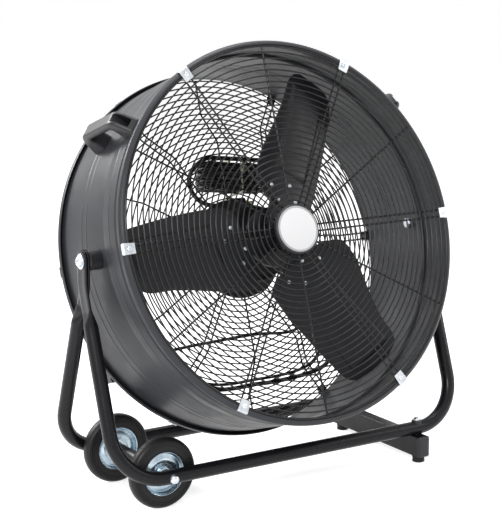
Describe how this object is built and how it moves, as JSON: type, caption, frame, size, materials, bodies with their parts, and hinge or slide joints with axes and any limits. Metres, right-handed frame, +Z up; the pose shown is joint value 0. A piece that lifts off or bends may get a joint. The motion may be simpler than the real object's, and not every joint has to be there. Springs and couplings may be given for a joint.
{
  "type": "drum fan",
  "caption": "Tilting steel drum fan with wire guards and broad sheet blades, on a bent-tube stand with wheels, feet and carrying handles.",
  "frame": {"origin": "on the floor, at the middle of the fan's outline seen from above", "axes": "+X to the right of someone facing the outlet, -Y towards the outlet, +Z up"},
  "size_m": [0.7498, 0.4514, 0.7814],
  "materials": {
    "frame_black": "satin black powder coat",
    "drum_black": "satin black powder coat",
    "guard_black": "gloss black powder coat on wire",
    "blade_black": "satin black paint",
    "motor_black": "black paint",
    "zinc": "bright zinc plate",
    "steel": "plain steel",
    "plastic": "black moulded plastic",
    "badge": "white face with a dark edge",
    "tyre": "solid black rubber",
    "rubber": "black rubber",
    "cord": "black cord jacket",
    "tie": "pale twist tie"
  },
  "bodies": {
    "stand": {"front_tube": "frame_black", "rear_tube": "frame_black", "cross_bar": "frame_black", "bar_caps": "plastic", "rubber_feet": "rubber", "bar_screws": "zinc", "screw_collars": "plastic", "axle": "zinc", "axle_nuts": "zinc", "axle_sleeve": "plastic"},
    "drum": {"drum_shell": "drum_black", "front_guard": "guard_black", "rear_guard": "guard_black", "front_clips": "zinc", "rear_clips": "zinc", "clip_screws": "zinc", "badge_plate": "badge", "left_handle": "plastic", "right_handle": "plastic", "handle_screws": "zinc", "pivot_spacers": "plastic", "pivot_washers": "zinc", "pivot_bolts": "zinc", "pivot_nuts": "zinc", "motor_mount": "motor_black", "motor_casing": "motor_black", "motor_front_bell": "motor_black", "motor_rear_bell": "motor_black", "motor_screws": "zinc", "switch_box": "plastic", "switch_lid": "plastic", "cord_gland": "plastic", "motor_lead_inner": "cord", "motor_lead_outer": "cord", "cord_run": "cord", "cord_hank": "cord", "cord_tail": "cord", "cord_plug": "cord", "cord_tie": "tie"},
    "rotor": {"motor_shaft": "steel", "hub_nut": "zinc", "hub_spider": "blade_black", "blade_1": "blade_black", "blade_2": "blade_black", "blade_3": "blade_black"},
    "front_wheel": {"front_tyre": "tyre", "front_rim": "zinc"},
    "rear_wheel": {"rear_tyre": "tyre", "rear_rim": "zinc"},
    "knob": {"speed_knob": "plastic"}
  },
  "joints": [
    {"name": "drum_tilt", "type": "hinge", "parent": "stand", "child": "drum", "pos_m": [0, -0.01728, 0.4272], "axis": [-1, 0, 0], "range_deg": [-38.73, 71.27]},
    {"name": "rotor_spin", "type": "hinge", "parent": "drum", "child": "rotor", "pos_m": [0, -0.01728, 0.4272], "axis": [0, -0.947, 0.3211], "continuous": true},
    {"name": "front_wheel_spin", "type": "hinge", "parent": "stand", "child": "front_wheel", "pos_m": [-0.2618, -0.10028, 0.0625], "axis": [0, 1, 0], "continuous": true},
    {"name": "rear_wheel_spin", "type": "hinge", "parent": "stand", "child": "rear_wheel", "pos_m": [-0.2618, 0.06572, 0.0625], "axis": [0, 1, 0], "continuous": true},
    {"name": "speed_turn", "type": "hinge", "parent": "drum", "child": "knob", "pos_m": [-0.24, 0.09538, 0.19893], "axis": [0, 0.947, -0.3211], "range_deg": [0, 270]}
  ]
}
